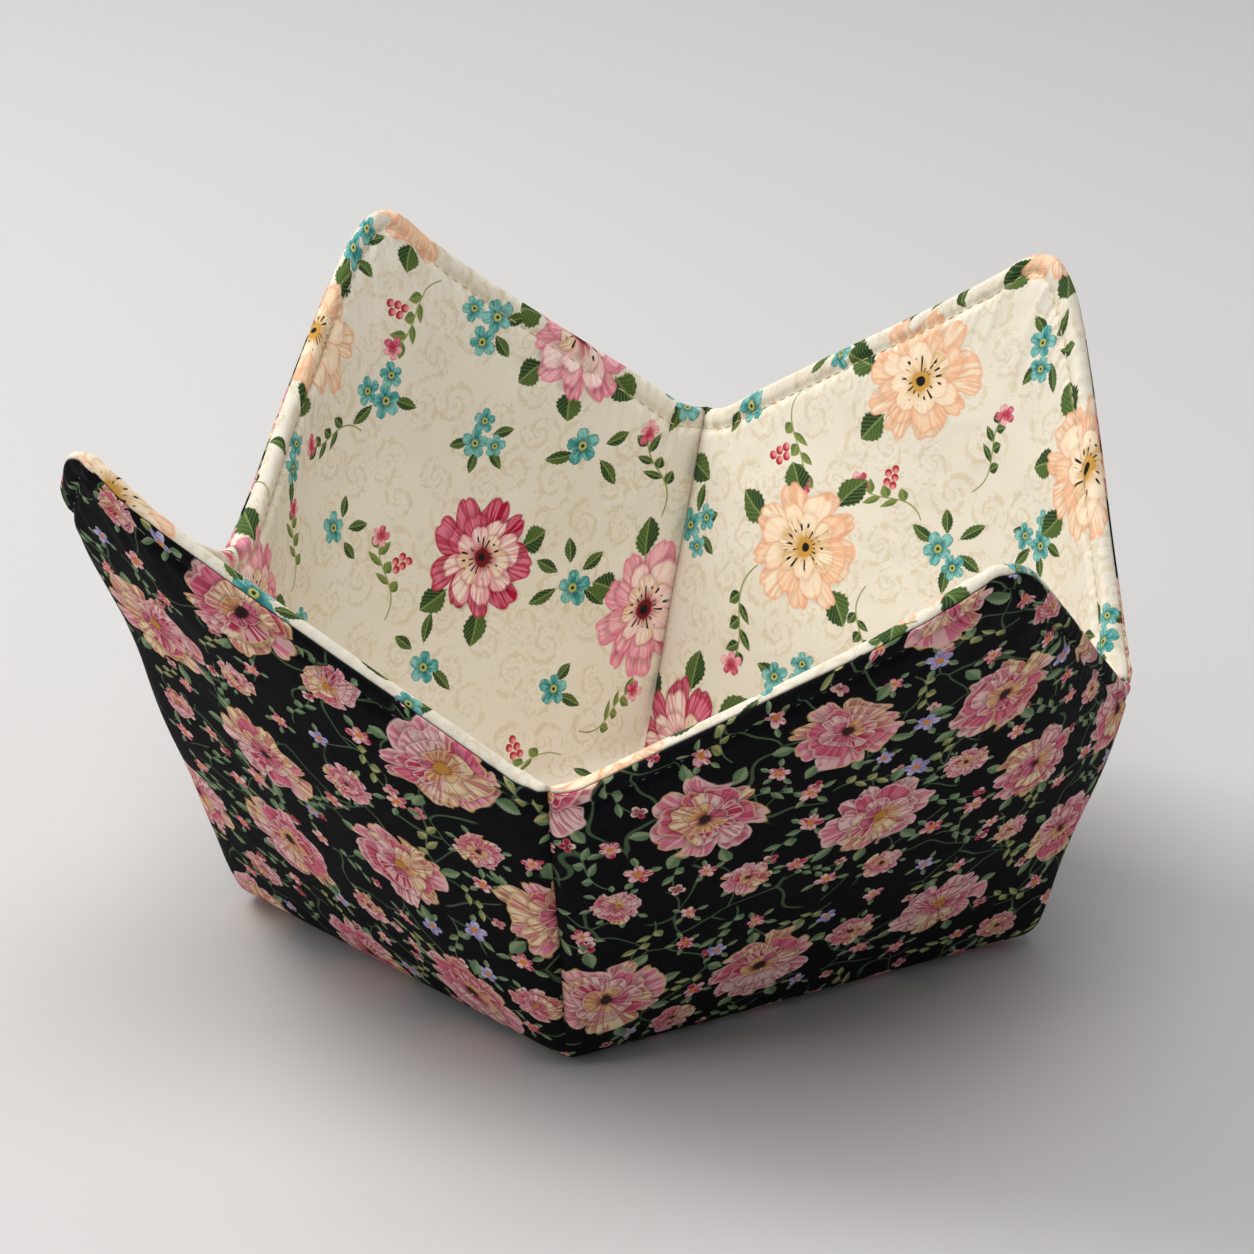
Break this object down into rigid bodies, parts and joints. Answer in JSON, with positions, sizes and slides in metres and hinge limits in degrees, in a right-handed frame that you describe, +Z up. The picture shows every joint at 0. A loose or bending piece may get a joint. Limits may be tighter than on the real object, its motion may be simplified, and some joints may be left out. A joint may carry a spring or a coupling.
{
  "type": "microwave bowl cozy",
  "caption": "Square quilted fabric bowl holder with pointed corners and low sides at its dart seams, flat underneath and open on top.",
  "frame": {"origin": "middle of the flat underside, between the four corners of the base", "axes": "+Z up out of the open top; -Y towards the front dart seam, +X towards the right one; the tips lie between the axes"},
  "size_m": [0.1677, 0.1698, 0.1089],
  "materials": {
    "cover_cotton": "woven cotton, near black with a printed pattern of blossoms",
    "batting": "needled cotton batting",
    "lining_cotton": "woven cotton, cream with a printed pattern of flowers"
  },
  "bodies": {
    "root": {"outer_cover": "cover_cotton", "outer_batting": "batting", "lining_batting": "batting", "lining": "lining_cotton"}
  },
  "joints": []
}
